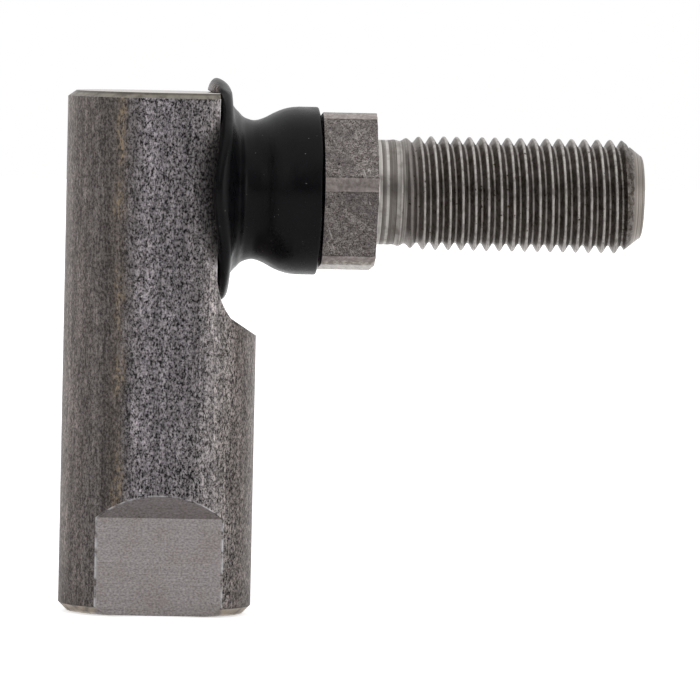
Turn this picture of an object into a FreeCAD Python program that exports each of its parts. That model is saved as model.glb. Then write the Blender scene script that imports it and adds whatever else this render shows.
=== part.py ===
import FreeCAD, Part
import os
import re

import Sketcher

# Right-angle ball-joint rod end. The origin is the ball's centre, which lies on the axis of the round bar.
# +Z runs up the bar, +X runs out along the ball stud, and every size is in millimetres or degrees.

doc = FreeCAD.newDocument("ball_joint_rod_end")
sheet = doc.addObject("Spreadsheet::Sheet", "sizes")

SIZES = [
    # the round bar: 5/8 inch stock, 1 3/8 inches from the ball's centre to its lower end
    ("bar_radius", 7.9375),
    ("bar_above", 7.9375),
    ("bar_below", 34.925),
    ("top_chamfer_width", 0.7),
    ("top_chamfer_height", 0.5),
    ("foot_chamfer", 0.7),
    # the milled flat that the stud stands out of, with the cutter's round run-out and a bevel below it
    ("flat_offset", 4.25),
    ("flat_below", 6.8),
    ("runout_radius", 5.9),
    ("runout_turn", 38.0),
    ("bevel_angle", 57.0),
    # two wrench flats at the foot, with 45 degree run-outs
    ("wrench_half_width", 6.0),
    ("wrench_length", 8.0),
    # the 3/8-24 UNF bore for the rod: thread, tap drill below it, and the drill's 118 degree point
    ("thread_bore_radius", 4.7625),
    ("thread_bore_depth", 19.05),
    ("drill_radius", 4.25),
    ("drill_depth", 22.2),
    ("mouth_chamfer", 0.6),
    ("drill_half_angle", 59.0),
    # the stepped socket bore, opened from the flat and closed by a rim rolled over the washer
    ("socket_radius", 5.5),
    ("socket_depth", 2.4),
    ("well_radius", 4.2),
    ("well_depth", 5.7),
    ("rim_radius", 5.05),
    ("rim_start", 3.7),
    # the ball stud: 11/32 inch ball, 1/2 inch hexagon, 3/8-24 UNF thread 7/8 inch past the hexagon
    ("ball_radius", 4.366),
    ("neck_radius", 2.3),
    ("neck_end", 9.0),
    ("collar_radius", 4.2),
    ("collar_start", 11.0),
    ("hex_face", 12.94),
    ("hex_thickness", 4.43),
    ("hex_width", 12.54),
    ("hex_corner_radius", 6.9),
    ("hex_turn", 6.0),
    ("shank_radius", 4.325),
    ("shank_length", 1.6),
    ("shank_fillet", 0.43),
    ("thread_start_taper", 0.8),
    ("thread_radius", 4.7),
    ("thread_end", 39.6),
    ("tip_chamfer", 1.15),
    # the pieces inside the socket
    ("running_gap", 0.03),
    ("assembly_gap", 0.02),
    ("race_gap", 0.15),
    ("race_throat_radius", 3.75),
    ("race_throat", 2.3),
    ("race_mouth_radius", 4.25),
    ("washer_thickness", 0.8),
    ("washer_opening", 4.55),
    ("seat_back", 4.9),
    ("backing_thickness", 0.3),
    ("spring_height", 0.5),
    ("spring_thickness", 0.28),
    ("spring_opening", 2.1),
    # the rubber boot: a lip on the flat, a thin waist and a thick bead on the stud's collar
    ("boot_lift", 0.02),
    ("lip_radius", 9.14),
    ("lip_flat_radius", 7.0),
    ("lip_rise", 0.55),
    ("lip_thickness", 0.5),
    ("base_opening", 5.3),
    ("base_end", 6.4),
    ("waist_radius", 5.74),
    ("waist_middle", 7.27),
    ("waist_end", 8.4),
    ("fold_radius", 6.04),
    ("fold_opening", 5.0),
    ("fold_gap", 0.05),
    ("bead_radius", 6.92),
    ("bead_start", 11.0),
    ("bead_end", 12.84),
    ("bead_corner", 0.35),
    ("grip_gap", 0.05),
]

for row, (alias, size) in enumerate(SIZES, start=1):
    sheet.set(f"A{row}", alias)
    sheet.set(f"B{row}", str(size))
    sheet.setAlias(f"B{row}", alias)
doc.recompute()

ALIASES = {alias for alias, _ in SIZES}


def bound(formula):
    """The formula with each size's name pointing at its cell of the sheet."""
    return re.sub("[a-z_]+", lambda word: f"sizes.{word[0]}" if word[0] in ALIASES else word[0], formula)


def number(formula):
    """The value of a formula now."""
    result = sheet.evalExpression(bound(formula))
    return float(getattr(result, "Value", result))


def origin_plane(body, role):
    """One of the body's own origin planes."""
    return next(item for item in body.Origin.OriginFeatures if item.Role == role)


def new_body(label):
    """An empty body named as its node."""
    body = doc.addObject("PartDesign::Body", label)
    body.Label = label
    return body


def new_sketch(body, name, role):
    """A sketch on one of the body's origin planes."""
    sketch = body.newObject("Sketcher::SketchObject", name)
    sketch.AttachmentSupport = [(origin_plane(body, role), "")]
    sketch.MapMode = "FlatFace"
    return sketch


def pin_point(sketch, edge, end, across, up):
    """Hold one end of an edge at the place that two formulas give."""
    vertical_axis, horizontal_axis = -2, -1
    pins = (("DistanceX", across, vertical_axis), ("DistanceY", up, horizontal_axis))
    for kind, formula, zero_axis in pins:
        if formula is None:
            continue
        if formula == "0":
            sketch.addConstraint(Sketcher.Constraint("PointOnObject", edge, end, zero_axis))
            continue
        index = sketch.addConstraint(Sketcher.Constraint(kind, edge, end, number(formula)))
        sketch.setExpression(f"Constraints[{index}]", bound(formula))


def draw_loop(sketch, points, arcs=None):
    """A closed outline through points, pairs of formulas. An edge in arcs bends about its given centre."""
    arcs = arcs or {}
    start, end, centre_point = 1, 2, 3
    places = [FreeCAD.Vector(number(across), number(up), 0) for across, up in points]
    edges = []
    for index, place in enumerate(places):
        target = places[(index + 1) % len(places)]
        if index not in arcs:
            edges.append((sketch.addGeometry(Part.LineSegment(place, target)), start, end))
            continue
        centre = FreeCAD.Vector(*(number(formula) for formula in arcs[index]), 0)
        radius = (place - centre).Length
        outward = (place - centre).normalize() + (target - centre).normalize()
        edge = sketch.addGeometry(Part.Arc(place, centre + outward.normalize() * radius, target))
        # a sketch keeps every arc anticlockwise, so one drawn clockwise has its ends swapped
        anticlockwise = (place - centre).cross(target - centre).z > 0
        edges.append((edge, start, end) if anticlockwise else (edge, end, start))
    for index, (edge, first, _) in enumerate(edges):
        before, _, last = edges[index - 1]
        across, up = points[index]
        sketch.addConstraint(Sketcher.Constraint("Coincident", before, last, edge, first))
        # an arc's far end already lies on its circle, so one of its two sizes is left free
        follows_arc = (index - 1) % len(edges) in arcs
        pin_point(sketch, edge, first, None if follows_arc else across, up)
        if index in arcs:
            pin_point(sketch, edge, centre_point, *arcs[index])


def turned(body, name, points, axis, kind="PartDesign::Revolution", arcs=None):
    """A full turn of an outline in the XZ plane: about the sketch's H_Axis for X, or its V_Axis for Z."""
    sketch = new_sketch(body, f"{name}_outline", "XZ_Plane")
    draw_loop(sketch, points, arcs)
    feature = body.newObject(kind, name)
    feature.Profile = sketch
    feature.ReferenceAxis = (sketch, [axis])
    feature.Angle = 360
    doc.recompute()
    return feature


def cut_through(body, name, role, points, arcs=None):
    """A pocket right through the body, both ways from one of its origin planes."""
    sketch = new_sketch(body, f"{name}_outline", role)
    draw_loop(sketch, points, arcs)
    pocket = body.newObject("PartDesign::Pocket", name)
    pocket.Profile = sketch
    pocket.Midplane = True
    pocket.setExpression("Length", bound("4 * bar_radius"))
    doc.recompute()
    return pocket


def must_remove(body, name, before, least):
    """Stop if a cut took away less than it should."""
    removed = before - body.Shape.Volume
    if removed < least:
        raise RuntimeError(f"{name} removed {removed:.3f} cubic mm, and should remove {least} or more")
    return body.Shape.Volume


def make_socket_body():
    """The round bar with its milled flat, wrench flats, rod bore and socket bore."""
    body = new_body("socket_body")
    bar = [
        ("0", "-bar_below"),
        ("bar_radius - foot_chamfer", "-bar_below"),
        ("bar_radius", "foot_chamfer - bar_below"),
        ("bar_radius", "bar_above - top_chamfer_height"),
        ("bar_radius - top_chamfer_width", "bar_above"),
        ("0", "bar_above"),
    ]
    turned(body, "bar", bar, "V_Axis")
    volume = body.Shape.Volume

    beyond = "2 * bar_radius"
    runout_x = "flat_offset + runout_radius * (1 - cos(runout_turn))"
    runout_z = "-flat_below - runout_radius * sin(runout_turn)"
    bevel_z = f"{runout_z} - ({beyond} - ({runout_x})) / tan(bevel_angle)"
    head_flat = [
        ("flat_offset", "-flat_below"),
        (runout_x, runout_z),
        (beyond, bevel_z),
        (beyond, "2 * bar_above"),
        ("flat_offset", "2 * bar_above"),
    ]
    bends = {0: ("flat_offset + runout_radius", "-flat_below")}
    cut_through(body, "head_flat", "XZ_Plane", head_flat, bends)
    volume = must_remove(body, "head_flat", volume, 300)

    for name, sign in (("front", "-"), ("rear", "")):
        wrench_flat = [
            (f"{sign}wrench_half_width", "-bar_below - 1"),
            (f"{sign}wrench_half_width", "wrench_length - bar_below"),
            (f"{sign}(wrench_half_width + 4)", "wrench_length + 4 - bar_below"),
            (f"{sign}(wrench_half_width + 4)", "-bar_below - 1"),
        ]
        cut_through(body, f"{name}_wrench_flat", "YZ_Plane", wrench_flat)
        volume = must_remove(body, f"{name}_wrench_flat", volume, 80)

    drill_point = "drill_depth + drill_radius / tan(drill_half_angle) - bar_below"
    rod_bore = [
        ("0", "-bar_below"),
        ("thread_bore_radius + mouth_chamfer", "-bar_below"),
        ("thread_bore_radius", "mouth_chamfer - bar_below"),
        ("thread_bore_radius", "thread_bore_depth - bar_below"),
        ("drill_radius", "thread_bore_depth + 0.5 - bar_below"),
        ("drill_radius", "drill_depth - bar_below"),
        ("0", drill_point),
    ]
    turned(body, "rod_bore", rod_bore, "V_Axis", "PartDesign::Groove")
    volume = must_remove(body, "rod_bore", volume, 1400)

    socket_bore = [
        ("-well_depth", "0"),
        ("-well_depth", "well_radius"),
        ("-socket_depth", "well_radius"),
        ("-socket_depth", "socket_radius"),
        ("rim_start", "socket_radius"),
        ("rim_start", "rim_radius"),
        ("flat_offset + 1", "rim_radius"),
        ("flat_offset + 1", "0"),
    ]
    turned(body, "socket_bore", socket_bore, "H_Axis", "PartDesign::Groove")
    must_remove(body, "socket_bore", volume, 700)
    return body


def make_ball_stud():
    """Ball, neck, collar, hexagon, plain shank and the thread's outer cylinder, all one piece."""
    body = new_body("ball_stud")
    hex_middle = "hex_face + hex_thickness / 2"
    shank_end = "hex_face + hex_thickness + shank_length"
    core = [
        ("0", "0"),
        ("0", "neck_radius"),
        ("neck_end", "neck_radius"),
        ("collar_start", "collar_radius"),
        (hex_middle, "collar_radius"),
        (hex_middle, "shank_radius + shank_fillet"),
        ("hex_face + hex_thickness", "shank_radius + shank_fillet"),
        ("hex_face + hex_thickness + shank_fillet", "shank_radius"),
        (shank_end, "shank_radius"),
        (f"{shank_end} + thread_start_taper", "thread_radius"),
        ("thread_end - tip_chamfer", "thread_radius"),
        ("thread_end", "thread_radius - tip_chamfer"),
        ("thread_end", "0"),
    ]
    turned(body, "core", core, "H_Axis")

    ball = body.newObject("PartDesign::AdditiveSphere", "ball")
    ball.setExpression("Radius", bound("ball_radius"))
    doc.recompute()

    sketch = new_sketch(body, "hexagon_outline", "YZ_Plane")
    sketch.setExpression("AttachmentOffset.Base.z", bound("hex_face"))
    corners = []
    for corner in range(6):
        angle = f"({180 + 60 * corner} - hex_turn)"
        reach = "hex_width / (2 * cos(30))"
        corners.append((f"{reach} * cos{angle}", f"{reach} * sin{angle}"))
    draw_loop(sketch, corners)
    hexagon = body.newObject("PartDesign::Pad", "hexagon")
    hexagon.Profile = sketch
    hexagon.setExpression("Length", bound("hex_thickness"))
    doc.recompute()

    # the hexagon's corners are turned down to a cylinder
    before = body.Shape.Volume
    outside_corners = [
        ("hex_face - 0.1", "hex_corner_radius"),
        ("hex_face - 0.1", "hex_corner_radius + 1"),
        ("hex_face + hex_thickness + 0.1", "hex_corner_radius + 1"),
        ("hex_face + hex_thickness + 0.1", "hex_corner_radius"),
    ]
    turned(body, "turned_corners", outside_corners, "H_Axis", kind="PartDesign::Groove")
    must_remove(body, "turned_corners", before, 2)
    return body


def cut_ball_seat(body, name):
    """Hollow a ring or a cup to the ball's radius and its running gap."""
    before = body.Shape.Volume
    seat = body.newObject("PartDesign::SubtractiveSphere", name)
    seat.setExpression("Radius", bound("ball_radius + running_gap"))
    doc.recompute()
    must_remove(body, name, before, 20)


def make_rear_seat():
    """The flanged cup behind the ball."""
    body = new_body("rear_seat")
    cup = [
        ("-seat_back", "0"),
        ("-seat_back", "well_radius - assembly_gap"),
        ("0.1 - socket_depth", "well_radius - assembly_gap"),
        ("0.1 - socket_depth", "socket_radius - assembly_gap"),
        ("-race_gap", "socket_radius - assembly_gap"),
        ("-race_gap", "0"),
    ]
    turned(body, "cup", cup, "H_Axis")
    cut_ball_seat(body, "cup_seat")
    return body


def make_front_race():
    """The ring in front of the ball, with a flared throat that the neck swings in."""
    body = new_body("front_race")
    ring = [
        ("race_gap", "race_throat_radius"),
        ("race_throat", "race_throat_radius"),
        ("rim_start - washer_thickness", "race_mouth_radius"),
        ("rim_start - washer_thickness", "socket_radius - assembly_gap"),
        ("race_gap", "socket_radius - assembly_gap"),
    ]
    turned(body, "ring", ring, "H_Axis")
    cut_ball_seat(body, "ring_seat")
    return body


def make_retaining_washer():
    """The steel washer that the rolled rim holds."""
    body = new_body("retaining_washer")
    washer = [
        ("rim_start - washer_thickness", "washer_opening"),
        ("rim_start", "washer_opening"),
        ("rim_start", "socket_radius - assembly_gap"),
        ("rim_start - washer_thickness", "socket_radius - assembly_gap"),
    ]
    turned(body, "washer", washer, "H_Axis")
    return body


def make_backing_disc():
    """The flat hardened disc between the spring and the cup."""
    body = new_body("backing_disc")
    disc = [
        ("-seat_back - backing_thickness", "0"),
        ("-seat_back", "0"),
        ("-seat_back", "well_radius - 2 * assembly_gap"),
        ("-seat_back - backing_thickness", "well_radius - 2 * assembly_gap"),
    ]
    turned(body, "disc", disc, "H_Axis")
    return body


def make_disc_spring():
    """A conical spring washer: its outer edge is on the well's floor, its inner edge on the backing disc."""
    body = new_body("disc_spring")
    cone = [
        ("-well_depth", "well_radius - 3 * assembly_gap"),
        ("spring_thickness - well_depth", "well_radius - 2 * assembly_gap"),
        ("spring_height - well_depth", "spring_opening"),
        ("spring_height - spring_thickness - well_depth", "spring_opening - assembly_gap"),
    ]
    turned(body, "cone", cone, "H_Axis")
    return body


def make_boot_base():
    """The boot's lip on the head's flat, and the start of its skirt."""
    body = new_body("boot_base")
    lip = [
        ("flat_offset + boot_lift", "base_opening"),
        ("flat_offset + boot_lift", "lip_flat_radius"),
        ("flat_offset + lip_rise", "lip_radius"),
        ("flat_offset + lip_rise + lip_thickness", "lip_radius"),
        ("flat_offset + 3 * lip_rise", "lip_flat_radius"),
        ("base_end", "fold_radius"),
        ("base_end", "base_opening - lip_rise"),
    ]
    turned(body, "lip", lip, "H_Axis")
    return body


def make_boot_waist():
    """The thin middle of the boot, which folds first as the stud tilts."""
    body = new_body("boot_waist")
    waist = [
        ("base_end + fold_gap", "fold_opening"),
        ("base_end + fold_gap", "fold_radius - fold_gap"),
        ("waist_middle", "waist_radius"),
        ("waist_end", "fold_radius - fold_gap"),
        ("waist_end", "fold_opening"),
    ]
    turned(body, "waist", waist, "H_Axis")
    return body


def make_boot_neck():
    """The boot's thick bead, which grips the stud's collar up to the hexagon."""
    body = new_body("boot_neck")
    bead = [
        ("waist_end + fold_gap", "fold_opening"),
        ("waist_end + fold_gap", "fold_radius"),
        ("bead_start", "bead_radius"),
        ("bead_end - bead_corner", "bead_radius"),
        ("bead_end", "bead_radius - bead_corner"),
        ("bead_end", "collar_radius + grip_gap"),
        ("collar_start", "collar_radius + grip_gap"),
    ]
    turned(body, "bead", bead, "H_Axis")
    return body


nodes = [
    make_socket_body(),
    make_ball_stud(),
    make_rear_seat(),
    make_front_race(),
    make_retaining_washer(),
    make_backing_disc(),
    make_disc_spring(),
    make_boot_base(),
    make_boot_waist(),
    make_boot_neck(),
]

doc.recompute()
for item in doc.Objects:
    if {"Invalid", "Error"} & set(item.State):
        raise RuntimeError(f"{item.Label} failed: {item.State}")
for node in nodes:
    if node.Shape.isNull() or not node.Shape.isValid() or len(node.Shape.Solids) != 1:
        raise RuntimeError(f"{node.Label} is not one valid solid")

os.makedirs("parts", exist_ok=True)
for node in nodes:
    node.Shape.exportStep(os.path.join("parts", f"{node.Label}.step"))
    box = node.Shape.BoundBox
    print(
        f"{node.Label}: volume {node.Shape.Volume:.1f},"
        f" x {box.XMin:.2f} to {box.XMax:.2f}, y {box.YMin:.2f} to {box.YMax:.2f},"
        f" z {box.ZMin:.2f} to {box.ZMax:.2f}"
    )
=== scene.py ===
import math

import bmesh
import bpy
import numpy as np
from mathutils import Matrix, Vector


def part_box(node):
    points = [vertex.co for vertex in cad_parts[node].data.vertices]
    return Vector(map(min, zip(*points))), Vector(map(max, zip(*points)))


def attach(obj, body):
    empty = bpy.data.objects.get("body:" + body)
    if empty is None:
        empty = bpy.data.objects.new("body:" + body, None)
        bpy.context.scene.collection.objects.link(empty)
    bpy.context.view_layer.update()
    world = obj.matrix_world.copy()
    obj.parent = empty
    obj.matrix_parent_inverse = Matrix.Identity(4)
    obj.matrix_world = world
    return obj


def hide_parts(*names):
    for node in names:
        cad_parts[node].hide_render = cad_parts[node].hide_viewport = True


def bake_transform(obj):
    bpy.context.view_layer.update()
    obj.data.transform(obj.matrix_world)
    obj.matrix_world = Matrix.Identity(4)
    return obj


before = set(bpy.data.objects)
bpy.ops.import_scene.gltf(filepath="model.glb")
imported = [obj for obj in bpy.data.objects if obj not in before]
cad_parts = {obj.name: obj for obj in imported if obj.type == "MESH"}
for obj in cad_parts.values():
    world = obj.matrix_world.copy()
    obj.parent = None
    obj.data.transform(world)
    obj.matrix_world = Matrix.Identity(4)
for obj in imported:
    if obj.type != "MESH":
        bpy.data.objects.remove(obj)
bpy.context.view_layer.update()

# Lengths below are in millimetres in the row frame, and MM turns them into Blender's metres.
MM = 0.001
# steps round a turned piece, and the distance within which vertices are joined
SEGMENTS = 180
WELD = 0.0005

# ---------------------------------------------------------------- sizes, from the frame where it holds them

body_low, body_high = (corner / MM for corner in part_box("socket_body"))
stud_low, stud_high = (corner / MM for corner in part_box("ball_stud"))
lip_low, lip_high = (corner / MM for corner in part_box("boot_base"))
waist_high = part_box("boot_waist")[1] / MM
bead_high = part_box("boot_neck")[1] / MM

BAR_RADIUS = body_high.y
FLOOR_HEIGHT = body_low.z
HEAD_TOP = body_high.z
STUD_TIP = stud_high.x
BALL_RADIUS = -stud_low.x
LIP_RADIUS = lip_high.z
BEAD_END = bead_high.x
# where the boot's two pieces meet, their inner radius there, and the ridge at the front of its lip
FOLD_SEAM = waist_high.x - 0.4
SEAM_INSIDE = 5.08
RIDGE_X = 5.40

# the head's flat and its round run-out
FLAT_X = lip_low.x - 0.02
RUNOUT_START = -6.8
RUNOUT_RADIUS = 5.9
# the wrench flats at the foot
WRENCH_HALF_WIDTH = 6.0
WRENCH_TOP = FLOOR_HEIGHT + 8.0
# the stud
NECK_RADIUS = 2.3
NECK_END = 9.0
COLLAR_START = 11.0
COLLAR_RADIUS = 4.2
HEX_FACE = 12.94
HEX_THICKNESS = 4.43
HEX_APOTHEM = 6.27
HEX_CORNER_RADIUS = 6.9
HEX_CORNER_ANGLE = math.radians(174)
SHANK_RADIUS = 4.325
SHANK_FILLET = 0.43
THREAD_START = 18.7
THREAD_RADIUS = 4.7
THREAD_ROOT = 4.08
PITCH = 25.4 / 24
TIP_RADIUS = 3.45
TIP_ROUNDING = 0.2
TIP_SLOPE = 0.80
LAST_CREST = STUD_TIP - 1.64
# the rod bore
BORE_RADIUS = 4.7625
BORE_CREST = 4.25
BORE_DEPTH = 19.05


# ---------------------------------------------------------------- mesh helpers


def smooth_step(low, high, value):
    """0 below low, 1 above high and a smooth rise between."""
    t = np.clip((np.asarray(value, float) - low) / (high - low), 0, 1)
    return t * t * (3 - 2 * t)


def circle_angles():
    """Angles about +X from +Y towards +Z."""
    return np.arange(SEGMENTS) * 2 * math.pi / SEGMENTS


def smooth_line(points, steps):
    """A Catmull-Rom curve through points, as an array, with steps spans between each pair."""
    p = np.array(points, float)
    p = np.vstack([2 * p[0] - p[1], p, 2 * p[-1] - p[-2]])
    line = []
    for k in range(1, len(p) - 2):
        for t in np.arange(steps) / steps:
            a, b, c, d = p[k - 1], p[k], p[k + 1], p[k + 2]
            square = (2 * a - 5 * b + 4 * c - d) * t**2
            cube = (3 * b - a - 3 * c + d) * t**3
            line.append(0.5 * (2 * b + (c - a) * t + square + cube))
    line.append(p[-2])
    return np.array(line)


def ring_object(name, rings):
    """A closed ring of rubber from rings, an array of rows by columns by x, y, z in millimetres."""
    rows, columns, _ = rings.shape
    vertices = rings.reshape(-1, 3) * MM
    faces = []
    for i in range(rows):
        here, there = i * columns, (i + 1) % rows * columns
        for j in range(columns):
            k = (j + 1) % columns
            faces.append((here + j, here + k, there + k, there + j))
    return mesh_object(name, vertices, faces)


def mesh_object(name, vertices, faces):
    """A linked and welded object with outward normals."""
    mesh = bpy.data.meshes.new(name)
    mesh.from_pydata([tuple(v) for v in vertices], [], faces)
    work = bmesh.new()
    work.from_mesh(mesh)
    bmesh.ops.remove_doubles(work, verts=work.verts, dist=WELD * MM)
    bmesh.ops.dissolve_degenerate(work, edges=work.edges, dist=WELD * MM)
    bmesh.ops.recalc_face_normals(work, faces=work.faces)
    work.to_mesh(mesh)
    work.free()
    mesh.update()
    piece = bpy.data.objects.new(name, mesh)
    bpy.context.scene.collection.objects.link(piece)
    return piece


def shade(piece, sharp_angle):
    """Smooth shading, with creases sharper than the angle, in degrees, kept."""
    for polygon in piece.data.polygons:
        polygon.use_smooth = True
    piece.data.set_sharp_from_angle(angle=math.radians(sharp_angle))


def turned_rings(profile, angles):
    """Rings about the X axis from (x, radius) pairs."""
    profile = np.array(profile, float)
    x = np.repeat(profile[:, 0][:, None], len(angles), axis=1)
    y = profile[:, 1][:, None] * np.cos(angles)[None, :]
    z = profile[:, 1][:, None] * np.sin(angles)[None, :]
    return np.stack([x, y, z], axis=2)


def grid_faces(rows, columns, start, closed=True):
    """Quads between successive rows of vertices numbered from start."""
    faces = []
    for i in range(rows - 1):
        for j in range(columns if closed else columns - 1):
            k = (j + 1) % columns
            a, b = start + i * columns, start + (i + 1) * columns
            faces.append((a + j, a + k, b + k, b + j))
    return faces


# ---------------------------------------------------------------- shader helper


class Shader:
    """Builds one node material. Positions are in millimetres in the row frame."""

    def __init__(self, name):
        self.material = bpy.data.materials.new(name)
        self.material.use_nodes = True
        self.tree = self.material.node_tree
        self.tree.nodes.clear()
        self.output = self.node("ShaderNodeOutputMaterial")
        self.surface = self.node("ShaderNodeBsdfPrincipled")
        self.tree.links.new(self.surface.outputs[0], self.output.inputs["Surface"])
        place = self.node("ShaderNodeTexCoord").outputs["Object"]
        self.place = self.vector("MULTIPLY", place, (1 / MM,) * 3)
        split = self.node("ShaderNodeSeparateXYZ", [self.place])
        self.x, self.y, self.z = split.outputs

    def node(self, kind, inputs=(), **settings):
        """A node with its settings and inputs, which are values or other nodes' outputs."""
        made = self.tree.nodes.new(kind)
        for key, value in settings.items():
            setattr(made, key, value)
        pairs = inputs.items() if isinstance(inputs, dict) else enumerate(inputs)
        for key, value in pairs:
            self.put(made.inputs[key], value)
        return made

    def put(self, socket, value):
        """Links the socket to another node's output, or gives it a plain value."""
        if isinstance(value, bpy.types.NodeSocket):
            self.tree.links.new(value, socket)
        elif value is not None:
            socket.default_value = value

    def set(self, **values):
        """Inputs of the Principled shader, with _ for a space in their names."""
        for key, value in values.items():
            self.put(self.surface.inputs[key.replace("_", " ")], value)

    def math(self, operation, *values):
        return self.node("ShaderNodeMath", list(values), operation=operation).outputs[0]

    def times(self, first, *others):
        """The product of all the values."""
        product = first
        for other in others:
            product = self.math("MULTIPLY", product, other)
        return product

    def vector(self, operation, *values, output=0):
        return self.node("ShaderNodeVectorMath", list(values), operation=operation).outputs[output]

    def stretched(self, *scales):
        """The position with each axis scaled."""
        return self.vector("MULTIPLY", self.place, scales)

    def noise(self, vector, scale=1.0, detail=2.0, roughness=0.5, distortion=0.0):
        inputs = {"Vector": vector, "Scale": scale, "Detail": detail}
        inputs |= {"Roughness": roughness, "Distortion": distortion}
        return self.node("ShaderNodeTexNoise", inputs).outputs["Fac"]

    def step(self, value, low, high, to_low=0.0, to_high=1.0):
        """A smooth rise of value from low to high."""
        inputs = [value, low, high, to_low, to_high]
        return self.node("ShaderNodeMapRange", inputs, interpolation_type="SMOOTHSTEP").outputs[0]

    def near(self, value, centre, width):
        """1 at centre, falling to 0 at width from it."""
        off = self.math("ABSOLUTE", self.math("SUBTRACT", value, centre))
        return self.step(off, 0.0, width, 1.0, 0.0)

    def step_linear(self, value, low, high, to_low=0.0, to_high=1.0):
        """A straight rise of value from low to high, held flat outside them."""
        return self.node("ShaderNodeMapRange", [value, low, high, to_low, to_high]).outputs[0]

    def length(self, first, second):
        """The length of a vector with two parts."""
        return self.math("SQRT", self.math("ADD", self.times(first, first), self.times(second, second)))

    def combined(self, x, y, z):
        return self.node("ShaderNodeCombineXYZ", [x, y, z]).outputs[0]

    def grey(self, value):
        """A colour whose three parts are one value."""
        return self.node("ShaderNodeCombineColor", [value, value, value]).outputs[0]

    def ramp(self, value, stops):
        """A colour ramp through (place, colour) stops."""
        made = self.node("ShaderNodeValToRGB", [value])
        elements = made.color_ramp.elements
        while len(elements) < len(stops):
            elements.new(0.5)
        for element, (place, colour) in zip(elements, stops):
            element.position = place
            element.color = (*colour, 1)
        return made.outputs[0]

    def mix(self, factor, first, second, blend="MIX"):
        """The first colour at factor 0 and the second at 1, or another blend of the two."""
        made = self.node("ShaderNodeMix", data_type="RGBA", blend_type=blend)
        for key, value in ((0, factor), (6, first), (7, second)):
            if isinstance(value, tuple) and len(value) == 3:
                value = (*value, 1)
            self.put(made.inputs[key], value)
        return made.outputs[2]

    def bump(self, height, depth, strength=1.0, normal=None):
        """A bump whose height of 1 stands depth millimetres proud."""
        inputs = {"Strength": strength, "Distance": depth * MM, "Height": height, "Normal": normal}
        return self.node("ShaderNodeBump", inputs).outputs[0]


# ---------------------------------------------------------------- materials


# tones across the bar, the bar's own banding with painted highlights towards both edges and in a band near
# 4.4: distance along X from its axis, and colour
BAR_TONES_WITH_PAINTED_HIGHLIGHTS = (
    (-8.0, (0.150, 0.128, 0.118)),
    (-6.6, (0.118, 0.102, 0.096)),
    (-5.7, (0.138, 0.122, 0.117)),
    (-4.6, (0.098, 0.086, 0.081)),
    (-3.7, (0.118, 0.102, 0.093)),
    (-3.0, (0.128, 0.115, 0.115)),
    (-2.1, (0.168, 0.153, 0.162)),
    (-1.0, (0.172, 0.158, 0.167)),
    (0.0, (0.160, 0.147, 0.155)),
    (1.7, (0.132, 0.121, 0.127)),
    (3.2, (0.176, 0.160, 0.162)),
    (4.4, (0.208, 0.190, 0.187)),
    (5.4, (0.188, 0.168, 0.160)),
    (6.4, (0.126, 0.108, 0.100)),
    (8.0, (0.170, 0.150, 0.140)),
)


def bar_streaks(s, tone, fine):
    """Lengthwise streaks, wide and fine, with soft clouds and puffs."""
    wide = s.noise(s.stretched(1.3, 1.3, 0.03), 1.0, 4, 0.65)
    streak = s.math("ADD", s.step(wide, 0.3, 0.7, 0.94, 1.42), s.step(fine, 0.3, 0.7, -0.22, 0.22))
    cloud = s.noise(s.stretched(0.55, 0.55, 0.28), 1.0, 4, 0.6)
    puffs = s.noise(s.stretched(2.1, 2.1, 1.1), 1.0, 2, 0.5)
    streak = s.times(streak, s.step(cloud, 0.3, 0.7, 0.90, 1.14), s.step_linear(puffs, 0.3, 0.7, 0.78, 1.24))
    return s.mix(1.0, tone, s.grey(streak), "MULTIPLY")


def bar_pits(s, tone, side, grain, coarse, pitted):
    """Grain, drawing lines, pits and glints, weaker on the smooth side, and lighter patches in two rows, one
    of them in the painted highlight band.
    """
    medium = s.noise(s.stretched(5.2, 5.2, 3.6), 1.0, 1, 0.5)
    # the band near x = 4.3 is where the tone carries a painted highlight; speckle is weaker there
    painted_highlight_band = s.near(side, 4.3, 1.6)
    both_grains = s.math("MULTIPLY_ADD", grain, 0.47, s.times(medium, 0.53))
    speckle = s.step_linear(both_grains, 0.39, 0.61, -0.94, 1.08)
    speckle = s.times(speckle, s.math("MULTIPLY_ADD", painted_highlight_band, -0.30, 1.0))
    speckle = s.math("MULTIPLY_ADD", speckle, pitted, 1.0)
    tone = s.mix(1.0, tone, s.grey(s.math("MAXIMUM", speckle, 0.05)), "MULTIPLY")
    # short dark drawing lines and lighter patches break up the pitted side
    drawn = s.noise(s.stretched(3.4, 3.4, 0.16), 1.0, 2, 0.5)
    drawn = s.times(s.step(drawn, 0.30, 0.41, 1.0, 0.0), pitted, 0.42)
    tone = s.mix(drawn, tone, (0.045, 0.041, 0.045))
    light_rows = s.math("MAXIMUM", s.near(side, -1.9, 0.9), painted_highlight_band)
    patches = s.step(s.noise(s.stretched(1.5, 1.5, 0.8), 1.0, 3, 0.6), 0.46, 0.64, 1.0, 1.38)
    patches = s.math("MULTIPLY_ADD", s.math("SUBTRACT", patches, 1.0), light_rows, 1.0)
    tone = s.mix(1.0, tone, s.grey(patches), "MULTIPLY")
    pits = s.times(s.step(coarse, 0.33, 0.40, 1.0, 0.0), pitted, 0.8)
    tone = s.mix(pits, tone, (0.026, 0.022, 0.022))
    glints = s.times(s.step(coarse, 0.60, 0.70), pitted, 0.45)
    return s.mix(glints, tone, (0.40, 0.37, 0.38))


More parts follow.
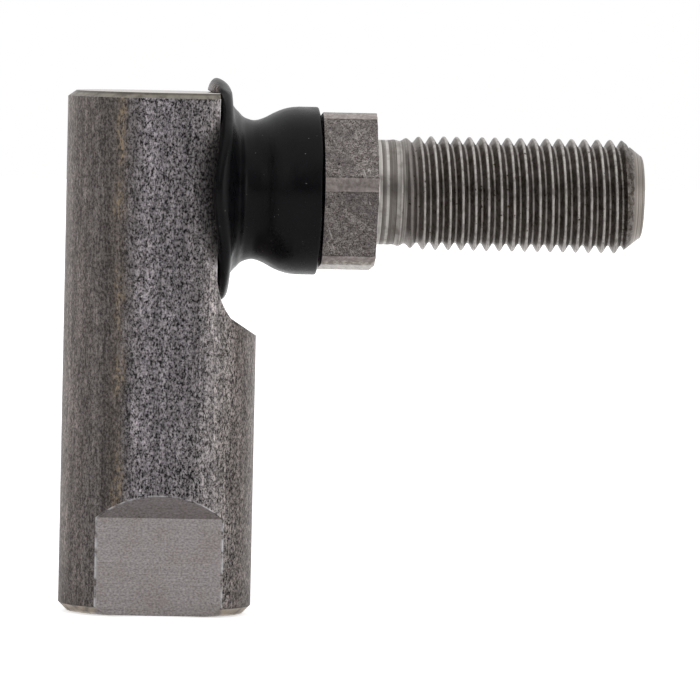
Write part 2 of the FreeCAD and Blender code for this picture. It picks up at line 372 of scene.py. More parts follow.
def bar_rust(s, tone, side):
    """A broken line of straw-coloured rust down the front."""
    rust_line = s.near(side, -3.7, 0.75)
    rust_spots = s.step(s.noise(s.stretched(5.5, 5.5, 2.6), 1.0, 3, 0.6), 0.46, 0.62)
    rust_runs = s.step(s.noise(s.stretched(0.2, 0.2, 0.22), 1.0, 2), 0.36, 0.62)
    front = s.step(s.y, -1.0, 0.0, 1.0, 0.0)
    rust = s.times(rust_line, rust_spots, s.times(front, rust_runs), 0.9)
    return s.mix(rust, tone, (0.42, 0.325, 0.22))


def cut_faces(s, radius, across, lines):
    """The milled flats with their darker run-outs, the turned chamfers, and the faced ends."""
    blotch = s.noise(s.place, 0.6, 4, 0.6)
    milled = s.mix(s.step(lines, 0.3, 0.7), (0.385, 0.350, 0.347), (0.460, 0.420, 0.420))
    milled = s.mix(s.step(blotch, 0.42, 0.72, 0.0, 0.5), milled, (0.345, 0.300, 0.280))
    milled_grain = s.step_linear(s.noise(s.stretched(5.0, 5.0, 7.5), 1.0, 2), 0.3, 0.7, 0.66, 1.34)
    milled = s.mix(1.0, milled, s.grey(milled_grain), "MULTIPLY")
    milled = s.mix(s.step(s.noise(s.place, 4.0, 2), 0.66, 0.72, 0.0, 0.7), milled, (0.15, 0.12, 0.10))
    runout = s.step(s.math("SUBTRACT", s.z, WRENCH_TOP), 0.0, 0.06)
    below_runout = s.step(s.z, WRENCH_TOP + 2.1, WRENCH_TOP + 2.3, 1.0, 0.0)
    shadowed = s.times(runout, below_runout, 0.40)
    milled = s.mix(shadowed, milled, (0.12, 0.108, 0.106))

    # the turned chamfers are smeared: pale at the foot, and olive with a dark upper line at the head
    top = s.step(s.z, HEAD_TOP - 0.52, HEAD_TOP - 0.46)
    foot = s.step(s.z, FLOOR_HEIGHT + 0.68, FLOOR_HEIGHT + 0.74, 1.0, 0.0)
    off_flat = s.step(across, WRENCH_HALF_WIDTH + 0.02, WRENCH_HALF_WIDTH + 0.06)
    at_side = s.step(s.math("ABSOLUTE", s.x), 4.9, 5.3)
    foot = s.times(foot, s.math("MAXIMUM", off_flat, at_side))
    turned = s.math("MAXIMUM", top, foot)
    smear = s.step(s.noise(s.stretched(0.9, 0.9, 0.3), 1.0, 4, 0.65), 0.42, 0.66)
    foot_tone = s.mix(smear, (0.66, 0.58, 0.50), (0.30, 0.265, 0.24))
    top_tone = s.mix(smear, (0.235, 0.215, 0.180), (0.125, 0.112, 0.092))
    upper_line = s.step(s.z, HEAD_TOP - 0.26, HEAD_TOP - 0.12, 0.0, 0.55)
    top_tone = s.mix(upper_line, top_tone, (0.050, 0.045, 0.034))
    milled = s.mix(turned, milled, s.mix(top, foot_tone, top_tone))

    # the faced ends show fine circles round the bar's axis
    facing = s.noise(s.combined(s.times(radius, 6.0), 0.0, 0.0), 1.0, 3, 0.6)
    faced = s.mix(s.step(facing, 0.3, 0.7), (0.52, 0.495, 0.47), (0.74, 0.715, 0.69))
    faced = s.mix(s.step(blotch, 0.40, 0.75, 0.0, 0.35), faced, (0.38, 0.34, 0.31))
    level_top = s.step(s.z, HEAD_TOP - 0.03, HEAD_TOP - 0.01)
    level_foot = s.step(s.z, FLOOR_HEIGHT + 0.01, FLOOR_HEIGHT + 0.03, 1.0, 0.0)
    return s.mix(s.math("MAXIMUM", level_top, level_foot), milled, faced)


def burrs_with_painted_highlight(s, colour, radius, across):
    """Broken burrs along the edges of the wrench flats and of the head's flat, painted as bright highlight
    lines.
    """
    rise = s.math("MAXIMUM", s.math("SUBTRACT", s.z, WRENCH_TOP), 0.0)
    wrench_edge = s.near(s.math("SUBTRACT", across, rise), WRENCH_HALF_WIDTH, 0.12)
    low = s.step(s.z, WRENCH_TOP + 2.2, WRENCH_TOP + 2.4, 1.0, 0.0)
    # the head's flat ends in a round run-out, so its edge follows the cutter's radius
    drop = s.math("SUBTRACT", RUNOUT_START, s.z)
    drop = s.math("MINIMUM", s.math("MAXIMUM", drop, 0.0), RUNOUT_RADIUS)
    chord = s.math("SUBTRACT", RUNOUT_RADIUS**2, s.times(drop, drop))
    cutter = s.math("SUBTRACT", FLAT_X + RUNOUT_RADIUS, s.math("SQRT", chord))
    flat_edge = s.near(s.math("SUBTRACT", s.x, cutter), 0.0, 0.12)
    high = s.step(s.z, -10.8, -10.4)
    edge = s.math("MAXIMUM", s.times(wrench_edge, low), s.times(flat_edge, high))
    broken = s.step(s.noise(s.place, 0.8, 4, 0.6), 0.38, 0.60)
    # the burrs are painted as bright highlight lines
    burr_highlight = s.times(edge, s.near(radius, BAR_RADIUS, 0.14), broken, 0.85)
    return s.mix(burr_highlight, colour, (0.74, 0.73, 0.74))


def drawn_bar_steel():
    """Dull drawn bar: lengthwise bands, fine dark pits, and smoother milled and turned faces."""
    s = Shader("drawn_bar_steel")
    radius = s.length(s.x, s.y)
    across = s.math("ABSOLUTE", s.y)

    # bands of tone along the bar: brown and smooth to one side, violet-grey and pitted to the other, with
    # painted highlights towards both edges and in a bright band near x = 4.4
    wander = s.noise(s.stretched(0.6, 0.6, 0.12), 1.0, 5, 0.65)
    side = s.math("ADD", s.x, s.times(s.math("SUBTRACT", wander, 0.5), 2.4))
    low, high = BAR_TONES_WITH_PAINTED_HIGHLIGHTS[0][0], BAR_TONES_WITH_PAINTED_HIGHLIGHTS[-1][0]
    stops = [((place - low) / (high - low), colour) for place, colour in BAR_TONES_WITH_PAINTED_HIGHLIGHTS]
    tone = s.ramp(s.step_linear(side, low, high), stops)

    fine = s.noise(s.stretched(6.5, 6.5, 0.30), 1.0, 3, 0.6)
    grain = s.noise(s.stretched(11.5, 11.5, 7.6), 1.0, 1, 0.5)
    coarse = s.noise(s.stretched(4.4, 4.4, 3.2), 1.0, 2, 0.6)
    pitted = s.times(s.step(side, -4.0, -1.8, 0.52, 1.0), s.step(side, 5.4, 6.8, 1.0, 0.72))
    tone = bar_streaks(s, tone, fine)
    tone = bar_pits(s, tone, side, grain, coarse, pitted)
    tone = bar_rust(s, tone, side)

    # milled and turned faces lie inside the bar's outer surface
    cut = s.step(radius, BAR_RADIUS - 0.10, BAR_RADIUS - 0.04, 1.0, 0.0)
    lines = s.noise(s.stretched(0.14, 0.14, 7.5), 1.0, 4, 0.65, 0.3)
    colour = s.mix(cut, tone, cut_faces(s, radius, across, lines))
    colour = burrs_with_painted_highlight(s, colour, radius, across)

    uncut = s.math("SUBTRACT", 1.0, cut)
    relief = s.math("MULTIPLY_ADD", fine, 0.35, s.times(s.math("ADD", grain, coarse), pitted))
    normal = s.bump(s.times(relief, uncut), 0.035, 0.7)
    normal = s.bump(s.times(lines, cut), 0.006, 0.6, normal)
    rough = s.math("MULTIPLY_ADD", uncut, 0.10, s.step(coarse, 0.3, 0.7, 0.48, 0.36))
    s.set(Base_Color=colour, Metallic=1.0, Roughness=rough, Normal=normal)
    return s.material


def hexagon_tone(s, radius, grain):
    """Grainy grey-brown bar with specks and scratches, and smoother brown turned corners."""
    mottle = s.noise(s.place, 2.8, 4, 0.65)
    smudge = s.noise(s.place, 0.55, 4, 0.6)
    tone = s.mix(s.step_linear(grain, 0.37, 0.63), (0.060, 0.053, 0.050), (0.332, 0.298, 0.287))
    tone = s.mix(s.step(mottle, 0.38, 0.60, 0.55, 0.0), tone, (0.072, 0.060, 0.055))
    tone = s.mix(s.step(mottle, 0.50, 0.68, 0.0, 0.36), tone, (0.38, 0.345, 0.33))
    tone = s.mix(s.step(smudge, 0.44, 0.62, 0.0, 0.45), tone, (0.098, 0.086, 0.088))
    specks = s.step(s.noise(s.place, 3.1, 2), 0.66, 0.70)
    tone = s.mix(s.times(specks, 0.85), tone, (0.022, 0.020, 0.019))
    # a few scratches across the hexagon, each a thin slanting line
    slant = s.vector("DOT_PRODUCT", s.place, (0.94, 0.0, 0.34), output=1)
    scratch_place = s.combined(s.times(slant, 5.0), s.times(s.z, 0.35), s.y)
    scratch_lines = s.noise(scratch_place, 1.0, 2)
    scratches = s.times(s.step(scratch_lines, 0.66, 0.70), s.step(smudge, 0.5, 0.6, 1.0, 0.0), 0.55)
    tone = s.mix(scratches, tone, (0.52, 0.49, 0.47))
    # the turned corners are a warmer, smoother brown between two thin lines
    corner = s.step(radius, HEX_CORNER_RADIUS - 0.02, HEX_CORNER_RADIUS - 0.008)
    corner_tone = s.mix(s.step(mottle, 0.35, 0.65), (0.300, 0.262, 0.247), (0.480, 0.425, 0.402))
    tone = s.mix(s.times(corner, 0.75), tone, corner_tone)
    corner_line = s.near(radius, HEX_CORNER_RADIUS - 0.025, 0.022)
    corner_line = s.times(corner_line, s.step(s.noise(s.place, 1.3, 2), 0.40, 0.55), 0.6)
    tone = s.mix(corner_line, tone, (0.05, 0.043, 0.040))
    # the lowest side is brighter: a painted highlight for the light it catches from below
    painted_low_highlight = s.step(s.z, -HEX_APOTHEM + 0.55, -HEX_APOTHEM + 0.75, 1.0, 0.0)
    low_highlight_tone = s.mix(s.step(mottle, 0.44, 0.60), (0.26, 0.225, 0.19), (0.62, 0.57, 0.52))
    return s.mix(s.times(painted_low_highlight, 0.6), tone, low_highlight_tone)


def thread_tone(s, radius, rings):
    """Painted highlights on the crests and roots over oily flanks, with crumbs, sooty last turns and a turned
    tip.
    """
    crest = s.step(radius, THREAD_RADIUS - 0.15, THREAD_RADIUS - 0.02)
    root = s.step(radius, THREAD_ROOT + 0.01, THREAD_ROOT + 0.06, 1.0, 0.0)
    # the crests and roots are painted bright: a painted highlight
    painted_crest_highlight = s.math("MAXIMUM", crest, s.times(root, 0.45))
    crest_highlight_strength = s.step(s.noise(s.place, 2.0, 3, 0.6), 0.34, 0.60, 0.45, 1.0)
    oil = s.step(s.noise(s.place, 1.7, 4, 0.65), 0.36, 0.62)
    flank = s.mix(oil, (0.090, 0.074, 0.062), (0.200, 0.180, 0.168))
    flank = s.mix(s.step(s.x, 19.6, 23.0, 0.75, 0.0), flank, (0.270, 0.248, 0.235))
    tone = s.mix(s.times(painted_crest_highlight, crest_highlight_strength), flank, (0.47, 0.445, 0.425))
    crumbs = s.step(s.noise(s.place, 3.6, 2), 0.665, 0.72)
    tone = s.mix(crumbs, tone, (0.045, 0.028, 0.010))
    # the last turns are rougher and oilier
    rough_end = s.step(s.x, STUD_TIP - 3.2, STUD_TIP - 1.4)
    soot = s.step(s.noise(s.place, 3.0, 4, 0.7), 0.42, 0.60)
    tone = s.mix(s.times(rough_end, soot, 0.7), tone, (0.040, 0.032, 0.024))
    tip = s.step(s.x, STUD_TIP - 1.05, STUD_TIP - 0.85)
    tip_tone = s.mix(s.step(rings, 0.35, 0.65), (0.180, 0.156, 0.138), (0.390, 0.350, 0.318))
    return s.mix(tip, tone, tip_tone)


def stud_steel():
    """Hexagon bar turned and rolled: grainy hexagon, ringed shank, thread crests painted bright as highlights
    over oily flanks.
    """
    s = Shader("stud_steel")
    radius = s.length(s.y, s.z)
    grain = s.noise(s.place, 9.0, 2, 0.6)
    hexagon = hexagon_tone(s, radius, grain)

    turns = s.combined(s.times(s.x, 6.5), s.times(radius, 0.6), 0.0)
    rings = s.noise(turns, 1.0, 3, 0.6)
    shank = s.mix(s.step(rings, 0.36, 0.62), (0.125, 0.110, 0.098), (0.56, 0.53, 0.50))
    shank = s.mix(s.step(s.noise(s.place, 1.2, 3), 0.45, 0.70, 0.0, 0.5), shank, (0.115, 0.098, 0.085))
    rolled = s.step(s.x, 18.9, 20.4)
    shank = s.mix(rolled, shank, thread_tone(s, radius, rings))

    past_hexagon = s.step(s.x, HEX_FACE + HEX_THICKNESS + 0.02, HEX_FACE + HEX_THICKNESS + 0.05)
    colour = s.mix(past_hexagon, hexagon, shank)
    relief = s.mix(past_hexagon, s.grey(grain), s.grey(rings))
    normal = s.bump(relief, 0.022, 0.6)
    rough = s.step(grain, 0.3, 0.7, 0.46, 0.34)
    s.set(Base_Color=colour, Metallic=1.0, Roughness=rough, Normal=normal)
    return s.material


def boot_rubber():
    """Moulded black rubber: fine grain, a few dust specks, a speckled light grey on the hooked rim and a
    painted highlight on the waist's upper side.
    """
    s = Shader("boot_rubber")
    bloom = s.noise(s.place, 0.8, 4, 0.6)
    colour = s.mix(s.step(bloom, 0.3, 0.7), (0.0022, 0.0021, 0.0028), (0.0042, 0.0040, 0.0050))
    dust = s.step(s.noise(s.place, 4.6, 1), 0.775, 0.81)
    colour = s.mix(s.times(dust, 0.5), colour, (0.30, 0.28, 0.25))
    # the rim is a speckled light grey where it hooks over the head's top
    hooked = s.times(s.step(s.z, HEAD_TOP - 0.1, HEAD_TOP + 0.2), s.step(s.x, 4.0, 4.45, 1.0, 0.0))
    rim_grey = s.step(s.noise(s.place, 3.8, 3, 0.7), 0.40, 0.60, 0.05, 1.0)
    # less of it towards the very top
    rim_grey = s.times(rim_grey, s.step(s.z, LIP_RADIUS - 0.75, LIP_RADIUS - 0.15, 1.0, 0.25))
    colour = s.mix(s.times(hooked, rim_grey), colour, (0.235, 0.200, 0.185))
    # the waist's upper side is lighter: a painted highlight
    painted_waist_highlight = s.times(s.step(s.z, 4.0, 5.8), s.near(s.x, 6.1, 1.9), s.step(bloom, 0.3, 0.6, 0.5, 1.0))
    colour = s.mix(painted_waist_highlight, colour, (0.050, 0.049, 0.048))
    grain = s.noise(s.place, 9.0, 3, 0.6)
    folds = s.noise(s.stretched(4.0, 1.0, 1.0), 1.0, 3, 0.6)
    normal = s.bump(s.math("ADD", grain, s.times(folds, 2.0)), 0.012, 0.5)
    rough = s.step(bloom, 0.3, 0.7, 0.25, 0.36)
    s.set(Base_Color=colour, Roughness=rough, Normal=normal, IOR=1.45, Specular_IOR_Level=0.14)
    return s.material


def seat_bronze():
    """Oily sintered bronze with fine pores."""
    s = Shader("seat_bronze")
    pores = s.noise(s.place, 8.0, 3, 0.6)
    colour = s.mix(s.step(pores, 0.35, 0.6), (0.20, 0.12, 0.045), (0.52, 0.34, 0.15))
    normal = s.bump(pores, 0.02, 0.6)
    s.set(Base_Color=colour, Metallic=1.0, Roughness=s.step(pores, 0.3, 0.7, 0.5, 0.35), Normal=normal)
    return s.material


def ground_steel():
    """Hard ground steel with fine circular lines."""
    s = Shader("ground_steel")
    lines = s.noise(s.stretched(9.0, 0.8, 0.8), 1.0, 3, 0.6)
    colour = s.mix(s.step(lines, 0.3, 0.7), (0.26, 0.25, 0.25), (0.44, 0.43, 0.43))
    rough = s.step(lines, 0.3, 0.7, 0.34, 0.22)
    s.set(Base_Color=colour, Metallic=1.0, Roughness=rough, Normal=s.bump(lines, 0.01, 0.5))
    return s.material


def pale_floor():
    """A plain white surface that glows a little, like a light table, and is clear from below."""
    s = Shader("pale_floor")
    s.set(Base_Color=(0.90, 0.90, 0.90, 1), Roughness=0.8, Specular_IOR_Level=0.0)
    # it glows to look at, so that it is as white as the surround, and behind the object, where it is lit most
    looked_at = s.node("ShaderNodeLightPath").outputs["Is Camera Ray"]
    behind = s.step(s.y, 10.0, 90.0)
    glow = s.times(s.math("MAXIMUM", looked_at, behind), 0.55)
    s.set(Emission_Color=(1, 1, 1, 1), Emission_Strength=glow)
    # it is clear from below, and where the foot stands on it, so that the foot's underside and bore are lit
    from_below = s.node("ShaderNodeNewGeometry").outputs["Backfacing"]
    underside = s.math("LESS_THAN", s.node("ShaderNodeLightPath").outputs["Ray Length"], 0.0004)
    clear = s.node("ShaderNodeBsdfTransparent").outputs[0]
    underfoot = s.step(s.length(s.x, s.y), 5.8, 5.9, 1.0, 0.0)
    is_clear = s.math("MAXIMUM", s.math("MAXIMUM", from_below, underside), underfoot)
    seen = s.node("ShaderNodeMixShader", [is_clear, s.surface.outputs[0], clear]).outputs[0]
    s.put(s.output.inputs["Surface"], seen)
    return s.material


# ---------------------------------------------------------------- ball stud


def hexagon_radius(angles):
    """Distance from the axis to the hexagon's side, or to its turned-down corner."""
    from_corner = (angles - HEX_CORNER_ANGLE) % math.radians(60)
    radius = HEX_APOTHEM / np.cos(from_corner - math.radians(30))
    return np.minimum(radius, HEX_CORNER_RADIUS)


def thread_height(turns_from_crest):
    """0 at the root and 1 at the crest of a 60 degree thread with eased corners."""
    # the flank's ends, in pitches from the middle of the crest
    crest_edge, root_edge = 0.0626, 0.4166
    ease, softness = 0.03, 0.3
    off = np.abs((np.asarray(turns_from_crest) + 0.5) % 1 - 0.5)
    straight = 0
    for shift in (-ease, 0, ease):
        rise = (root_edge - np.abs(off + shift)) / (root_edge - crest_edge)
        straight = straight + np.clip(rise, 0, 1) / 3
    wave = 0.5 + 0.5 * np.cos(2 * math.pi * off)
    return (1 - softness) * straight + softness * wave


def stud_thread(angles_count):
    """The rolled thread as a sheared grid that follows its helix. Returns vertices and faces."""
    start, end = THREAD_START, STUD_TIP - TIP_ROUNDING
    # rows across a pitch, closer together at the corners of the crest and the root
    steps = [0, 0.035, 0.065, 0.10, 0.17, 0.24, 0.31, 0.38, 0.415, 0.45]
    steps = np.array(steps + [0.5] + [1 - s for s in reversed(steps[1:])])
    turns = np.arange(-2, math.ceil((end - start) / PITCH) + 2)
    along = (turns[:, None] + steps[None, :]).ravel()
    angle = np.linspace(0, 2 * math.pi, angles_count + 1)
    lead = (angle - math.pi / 2) / (2 * math.pi)
    first_crest = LAST_CREST - math.ceil((LAST_CREST - start) / PITCH) * PITCH
    x = first_crest + PITCH * (along[:, None] + lead[None, :])
    x = np.clip(x, start, end)
    phase = (x - first_crest) / PITCH - lead[None, :]
    profile = THREAD_ROOT + (THREAD_RADIUS - THREAD_ROOT) * thread_height(phase)
    # the thread grows out of the shank over its first turns
    grown = smooth_step(start - 0.6, start + 3.4, x)
    radius = SHANK_RADIUS + (profile - SHANK_RADIUS) * grown
    tip_cone = TIP_RADIUS + (end - x) * TIP_SLOPE
    radius = np.minimum(radius, tip_cone)
    y = radius * np.cos(angle)[None, :]
    z = radius * np.sin(angle)[None, :]
    grid = np.stack([x, y, z], axis=2)
    rows, columns = x.shape
    return grid.reshape(-1, 3), grid_faces(rows, columns, 0, closed=False)


def make_ball_stud():
    """Ball, neck, collar, hexagon and threaded end as one closed mesh."""
    angles = circle_angles()
    count = len(angles)
    neck_meets_ball = math.asin(NECK_RADIUS / BALL_RADIUS)
    ball = [
        (-BALL_RADIUS * math.cos(t), BALL_RADIUS * math.sin(t))
        for t in np.linspace(0.02, math.pi - neck_meets_ball, 40)
    ]
    flare_length, flare_rise = COLLAR_START - NECK_END, COLLAR_RADIUS - NECK_RADIUS
    flare = [
        (NECK_END + flare_length * t, NECK_RADIUS + flare_rise * (1 - math.cos(t * math.pi / 2)))
        for t in np.linspace(0, 1, 12)
    ]
    left = turned_rings([*ball, *flare, (HEX_FACE, COLLAR_RADIUS)], angles)

    hex_edge = hexagon_radius(angles)
    hex_end = HEX_FACE + HEX_THICKNESS
    jagged = 0.045 * np.sin(7 * angles + 1) * np.sin(17 * angles) + 0.03 * np.sin(41 * angles)

    def hex_ring(x, inset):
        radius = hex_edge - inset
        along = np.broadcast_to(x, angles.shape)
        return np.stack([along, radius * np.cos(angles), radius * np.sin(angles)], axis=1)

    hexagon = [
        hex_ring(HEX_FACE, 1.2),
        hex_ring(HEX_FACE, 0.05),
        hex_ring(HEX_FACE + 0.02, 0.015),
        hex_ring(HEX_FACE + 0.06, 0.0),
        hex_ring(HEX_FACE + HEX_THICKNESS / 2, 0.0),
        hex_ring(hex_end - 0.25, 0.0),
        hex_ring(hex_end - 0.05 + jagged * 0.6, 0.0),
        hex_ring(hex_end - 0.01 + jagged * 0.6, 0.03),
        hex_ring(hex_end, 0.12),
    ]
    fillet = [
        (hex_end + SHANK_FILLET * (1 - math.cos(t)), SHANK_RADIUS + SHANK_FILLET * (1 - math.sin(t)))
        for t in np.linspace(0, math.pi / 2, 7)
    ]
    shank = turned_rings([*fillet, (18.2, SHANK_RADIUS), (THREAD_START, SHANK_RADIUS)], angles)
    before = np.concatenate([left, np.array(hexagon), shank])

    end = STUD_TIP - TIP_ROUNDING
    rounding = [
        (end + TIP_ROUNDING * math.sin(t), TIP_RADIUS - 2 * TIP_ROUNDING * (1 - math.cos(t)))
        for t in np.linspace(0, math.pi / 2, 7)
    ]
    after = turned_rings([*rounding, (STUD_TIP, 2.4), (STUD_TIP, 1.0)], angles)

    vertices = list(before.reshape(-1, 3))
    faces = grid_faces(len(before), count, 0)
    faces.append(tuple(range(count)))
    thread_vertices, thread_faces = stud_thread(count)
    start = len(vertices)
    vertices += list(thread_vertices)
    faces += [tuple(start + i for i in face) for face in thread_faces]
    start = len(vertices)
    vertices += list(after.reshape(-1, 3))
    faces += grid_faces(len(after), count, start)
    faces.append(tuple(start + (len(after) - 1) * count + j for j in range(count)))
    stud = mesh_object("threaded_ball_stud", np.array(vertices) * MM, faces)
    shade(stud, 40)
    stud.data.materials.append(stud_steel())
    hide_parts("ball_stud")
    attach(stud, "stud")
    return stud


# ---------------------------------------------------------------- rubber boot


def head_surface(y, z):
    """How far out along X the socket body's head reaches at y, z, and -99 where it doesn't reach."""
    inside = (np.abs(y) < BAR_RADIUS) & (z < HEAD_TOP)
    drop = np.clip(RUNOUT_START - z, 0, RUNOUT_RADIUS)
    cut = FLAT_X + RUNOUT_RADIUS - np.sqrt(RUNOUT_RADIUS**2 - drop**2)
    round_side = np.sqrt(np.maximum(BAR_RADIUS**2 - y**2, 0))
    return np.where(inside, np.minimum(cut, round_side), -99.0)


def lip_bend(angles, radius, x):
    """How far back the lip's points hang where it stands past the head's edges: its rim hooks over them."""
    flat_half_width = math.sqrt(BAR_RADIUS**2 - FLAT_X**2)
    side = np.maximum(np.abs(np.cos(angles)), 1e-6)
    up = np.maximum(np.sin(angles), 1e-6)
    held = np.minimum(flat_half_width / side, np.minimum(HEAD_TOP / up, LIP_RADIUS - 0.3))
    at_sides = np.clip((side - 0.80) / 0.20, 0, 1) ** 2
    over_top = smooth_step(0.865, 0.94, up)
    at_back = np.clip((RIDGE_X - x) / (RIDGE_X - FLAT_X), 0, 1)
    past = np.clip((radius - held) / 0.25, 0, 1)
    reach = np.clip((radius - held) / (LIP_RADIUS - held), 0, 1)
    back = (0.55 * at_sides + 0.62 * over_top) * np.sqrt(1 - (1 - past) ** 2)
    front = (0.72 * at_sides + 0.55 * over_top) * reach**2
    return at_back * back + (1 - at_back) * front


def make_boot():
    """The boot in two pieces that meet at the fold, each a closed ring of rubber."""
    angles = circle_angles()
    # the lip's thick rim is half an ellipse from its back, on the flat, round to the ridge at its front
    rim_foot = 8.35
    back_x = FLAT_X + 0.02
    rim_middle, rim_half = (RIDGE_X + back_x) / 2, (RIDGE_X - back_x) / 2
    rim = [
        (rim_middle - rim_half * math.cos(t), rim_foot + (LIP_RADIUS - rim_foot) * math.sin(t))
        for t in np.linspace(0, math.pi, 18)
    ]
    face = [(RIDGE_X, rim_foot), (5.43, 7.95), (5.48, 7.45), (5.62, 7.0), (5.86, 6.66), (6.11, 6.41)]
    waist = [(6.44, 6.06), (6.77, 5.88), (7.27, 5.74), (FOLD_SEAM - 0.35, 5.76), (FOLD_SEAM, 5.86)]
    flank = [(8.43, 6.04), (9.10, 6.40), (9.76, 6.68), (10.43, 6.85), (11.1, 6.92)]
    outer = smooth_line([*face, *waist, *flank], 6)
    seam_row = 6 * (len(face) + len(waist) - 1)
    outer_skirt, outer_bead = outer[: seam_row + 1], outer[seam_row:]
    cavity = [(7.5, 4.98), (6.7, 4.95), (5.9, 5.10), (5.2, 5.30), (4.7, 5.50), (back_x + 0.01, 5.7)]
    back = [(back_x, radius) for radius in (6.2, 6.6, 7.0, 7.4, 7.8, 8.1, rim_foot)]
    inner_skirt = smooth_line([(FOLD_SEAM, SEAM_INSIDE), *cavity, *back], 4)
    profile = np.vstack([outer_skirt, inner_skirt[:-1], rim[:-1]])
    rings = turned_rings(profile, angles)
    radius = np.broadcast_to(profile[:, 1][:, None], rings.shape[:2])
    rings[:, :, 0] -= lip_bend(np.broadcast_to(angles, radius.shape), radius, profile[:, 0][:, None])
    # the lip rests on the head, and gets thinner where the run-out lifts it
    rest = head_surface(rings[:, :, 1], rings[:, :, 2]) + 0.02
    lifted = np.maximum(rest - back_x, 0)
    thickness = profile[:, 0][:, None] - back_x
    squeezed = rest + np.maximum(thickness - lifted, 0.3 * thickness)
    on_lip = (profile[:, 0] < 5.9)[:, None] & (lifted > 0)
    rings[:, :, 0] = np.where(on_lip, squeezed, rings[:, :, 0])
    skirt = ring_object("boot_skirt", rings)

    corner = [(12.50, 6.92), (12.62, 6.91), (12.68, 6.86), (12.76, 6.6), (BEAD_END, 6.2)]
    grip = [(BEAD_END, COLLAR_RADIUS + 0.06), (COLLAR_START, COLLAR_RADIUS + 0.06)]
    bead_profile = [*outer_bead, *corner, *grip]
    # inside, the boot stands clear of the neck, so that the neck can lean
    clear_of_neck = [(9.8, 4.34), (9.2, 4.55), (8.7, 4.80), (8.3, 5.00), (FOLD_SEAM, SEAM_INSIDE)]
    inner_bead = smooth_line([(COLLAR_START, COLLAR_RADIUS + 0.06), *clear_of_neck], 4)
    bead = ring_object("boot_bead", turned_rings([*bead_profile, *inner_bead[1:]], angles))

    rubber = boot_rubber()
    for piece, bodies, span, nodes in (
        (skirt, ("housing", "boot_fold"), (5.4, FOLD_SEAM - 0.05), ("boot_base", "boot_waist")),
        (bead, ("boot_fold", "boot_top"), (FOLD_SEAM, 9.6), ("boot_neck",)),
    ):
        shade(piece, 50)
        piece.data.materials.append(rubber)
        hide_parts(*nodes)
        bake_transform(piece)
    return skirt, bead


# ---------------------------------------------------------------- rod bore thread


def make_bore_thread():
    """The female thread inside the rod bore: a thin helical sleeve against the bore's wall."""
    count = 120
    start, end = FLOOR_HEIGHT + 0.62, FLOOR_HEIGHT + BORE_DEPTH - 0.1
    wall = BORE_RADIUS - 0.01
    root = wall - 0.06
    steps = np.array([0, 0.04, 0.08, 0.16, 0.24, 0.32, 0.40, 0.44])
    steps = np.concatenate([steps, [0.5], 1 - steps[:0:-1]])
    turns = np.arange(-2, math.ceil((end - start) / PITCH) + 2)
    along = (turns[:, None] + steps[None, :]).ravel()
    angle = np.linspace(0, 2 * math.pi, count + 1)
    lead = angle / (2 * math.pi)
    z = np.clip(start + PITCH * (along[:, None] + lead[None, :]), start, end)
    phase = (z - start) / PITCH - lead[None, :]
    fade = smooth_step(start, start + 0.7, z) * (1 - smooth_step(end - 0.7, end, z))
    radius = root - (root - BORE_CREST) * thread_height(phase) * fade
    inner = np.stack([radius * np.cos(angle), radius * np.sin(angle), z], axis=2)
    rows, columns = z.shape
    vertices = list(inner.reshape(-1, 3))
    faces = grid_faces(rows, columns, 0, closed=False)
    for height in (start, end):
        for sleeve_radius in (root, wall):
            ring = [(sleeve_radius * math.cos(a), sleeve_radius * math.sin(a), height) for a in angle]
            vertices += ring
        faces += grid_faces(2, columns, len(vertices) - 2 * columns, closed=False)
    low_wall = len(vertices) - 3 * columns
    high_wall = len(vertices) - columns
    for j in range(count):
        faces.append((low_wall + j, low_wall + j + 1, high_wall + j + 1, high_wall + j))
    thread = mesh_object("rod_bore_thread", np.array(vertices) * MM, faces)
    shade(thread, 40)
    thread.data.materials.append(ground_steel())
    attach(thread, "housing")
    return thread


# ---------------------------------------------------------------- CAD nodes that stay


def finish_cad_nodes():
    """Materials for the CAD nodes that stay, and a small broken edge on the socket body."""
    finishes = {
        "socket_body": drawn_bar_steel(),
        "rear_seat": seat_bronze(),
        "front_race": seat_bronze(),
        "retaining_washer": ground_steel(),
        "backing_disc": ground_steel(),
        "disc_spring": ground_steel(),
    }
    for node, finish in finishes.items():
        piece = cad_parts[node]
        piece.data.materials.clear()
        piece.data.materials.append(finish)
    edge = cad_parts["socket_body"].modifiers.new("broken_edge", "BEVEL")
    edge.width = 0.07 * MM
    edge.segments = 2
    edge.limit_method = "ANGLE"
    edge.angle_limit = math.radians(25)
    edge.harden_normals = True


# ---------------------------------------------------------------- stage, light and camera


def make_stage():
    """A wide pale floor and two soft lamps."""
    half_width = 1.5
    corners = [(-half_width, -half_width), (half_width, -half_width)]
    corners += [(half_width, half_width), (-half_width, half_width)]
    mesh = bpy.data.meshes.new("floor")
    height = FLOOR_HEIGHT * MM - 0.0001
    mesh.from_pydata([(x, y, height) for x, y in corners], [], [(0, 1, 2, 3)])
    floor = bpy.data.objects.new("floor", mesh)
    bpy.context.scene.collection.objects.link(floor)
    floor.data.materials.append(pale_floor())

    middle = Vector((15, 0, -13)) * MM
    for name, offset, size, radiance in (
        ("right_strip", (380, -150, 60), 0.16, 2.2),
        ("left_fill", (-260, -300, 160), 0.22, 0.6),
    ):
        light = bpy.data.lights.new(name, "AREA")
        light.energy = radiance * math.pi * size**2
        light.size = size
        lamp = bpy.data.objects.new(name, light)
        bpy.context.scene.collection.objects.link(lamp)
        lamp.location = middle + Vector(offset) * MM
        lamp.rotation_euler = (middle - lamp.location).to_track_quat("-Z", "Y").to_euler()


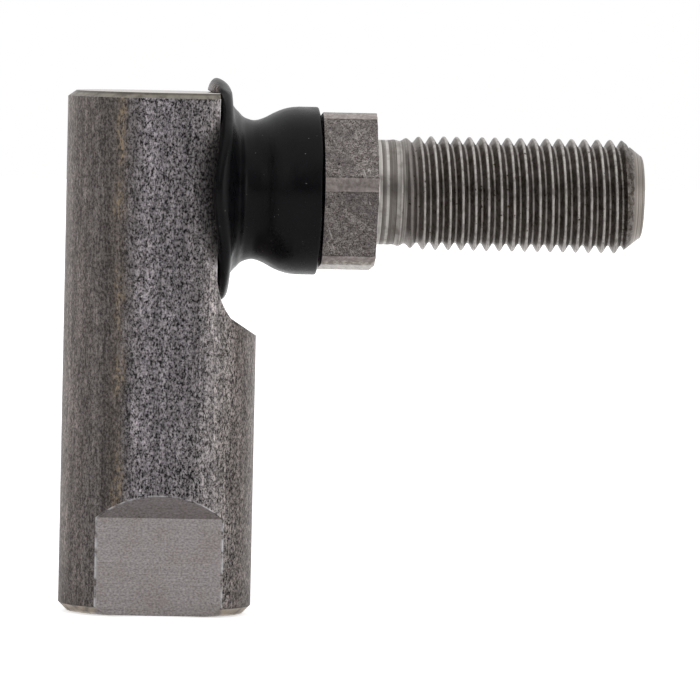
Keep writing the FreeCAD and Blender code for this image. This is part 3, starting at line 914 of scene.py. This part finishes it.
def make_surround():
    """White to look at, and a soft studio to reflect: dim in front, brighter behind and bright overhead."""
    world = bpy.data.worlds.new("surround")
    bpy.context.scene.world = world
    world.use_nodes = True
    tree = world.node_tree
    background = tree.nodes["Background"]

    def node(kind, inputs, **settings):
        made = tree.nodes.new(kind)
        for key, value in settings.items():
            setattr(made, key, value)
        for index, value in enumerate(inputs):
            if isinstance(value, bpy.types.NodeSocket):
                tree.links.new(value, made.inputs[index])
            else:
                made.inputs[index].default_value = value
        return made.outputs[0]

    direction = tree.nodes.new("ShaderNodeTexCoord").outputs["Generated"]
    split = tree.nodes.new("ShaderNodeSeparateXYZ")
    tree.links.new(direction, split.inputs[0])
    _, y, z = split.outputs
    ring = node("ShaderNodeMapRange", [y, -0.4, 0.9, 0.17, 0.90], interpolation_type="SMOOTHSTEP")
    height = node("ShaderNodeMapRange", [z, 0.12, 0.80, 0.0, 1.0], interpolation_type="SMOOTHSTEP")
    rise = node("ShaderNodeMath", [1.1, ring], operation="SUBTRACT")
    lit = node("ShaderNodeMath", [rise, height, ring], operation="MULTIPLY_ADD")
    seen = tree.nodes.new("ShaderNodeLightPath").outputs["Is Camera Ray"]
    strength = node("ShaderNodeMath", [seen, lit], operation="MAXIMUM")
    tree.links.new(strength, background.inputs["Strength"])
    background.inputs["Color"].default_value = (1, 1, 1, 1)


def make_camera():
    """A long lens from slightly left of the front and a little above, as the object was seen."""
    azimuth, elevation, roll = math.radians(-4.2), math.radians(2.4), math.radians(1.25)
    distance, focal_length = 0.748, 466
    target = Vector((15.75, 0, -13.08)) * MM
    level = Vector((math.sin(azimuth), -math.cos(azimuth), 0))
    back = level * math.cos(elevation) + Vector((0, 0, math.sin(elevation)))
    camera = bpy.data.objects.new("camera", bpy.data.cameras.new("camera"))
    bpy.context.scene.collection.objects.link(camera)
    camera.data.sensor_width = 36
    camera.data.lens = focal_length
    camera.data.clip_start, camera.data.clip_end = 0.05, 20
    camera.location = target + back * distance
    turn = (-back).to_track_quat("-Z", "Y").to_matrix() @ Matrix.Rotation(roll, 3, "Z")
    camera.rotation_euler = turn.to_euler()
    bpy.context.scene.camera = camera


make_camera()
finish_cad_nodes()
make_ball_stud()
make_boot()
make_bore_thread()
make_stage()
make_surround()
bpy.context.scene.view_settings.view_transform = "Standard"
